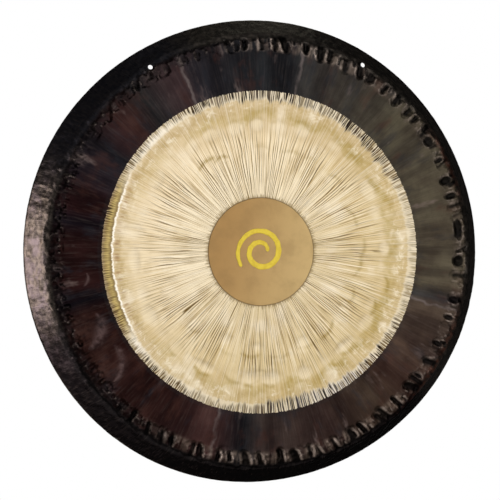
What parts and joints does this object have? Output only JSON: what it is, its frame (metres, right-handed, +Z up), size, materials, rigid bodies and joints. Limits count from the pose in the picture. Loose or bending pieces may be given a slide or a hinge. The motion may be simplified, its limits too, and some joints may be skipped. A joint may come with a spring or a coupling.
{
  "type": "tam tam gong",
  "caption": "Round hammered metal gong with a shallow turned-back rim, a scraped bright zone, a tan centre disc and suspension holes.",
  "frame": {"origin": "midway between the two suspension holes, at the middle of the sheet's thickness there", "axes": "+Z up as the gong hangs, +Y from its struck face towards the rear edge of its turned-back rim, +X across it from one suspension hole to the other"},
  "size_m": [0.812, 0.0694, 0.812],
  "materials": {
    "nickel_silver": "nickel silver scraped bare in fine radial strokes, satin",
    "black_oxide": "dark heat oxide on hammered nickel silver, semi-gloss, with streaks of maroon, olive and blue-grey",
    "tan_lacquer": "thin satin tan lacquer",
    "yellow_paint": "thin brushed yellow paint"
  },
  "bodies": {
    "root": {"gong_plate": "nickel_silver", "centre_disc": "tan_lacquer", "painted_sign": "yellow_paint"}
  },
  "joints": []
}
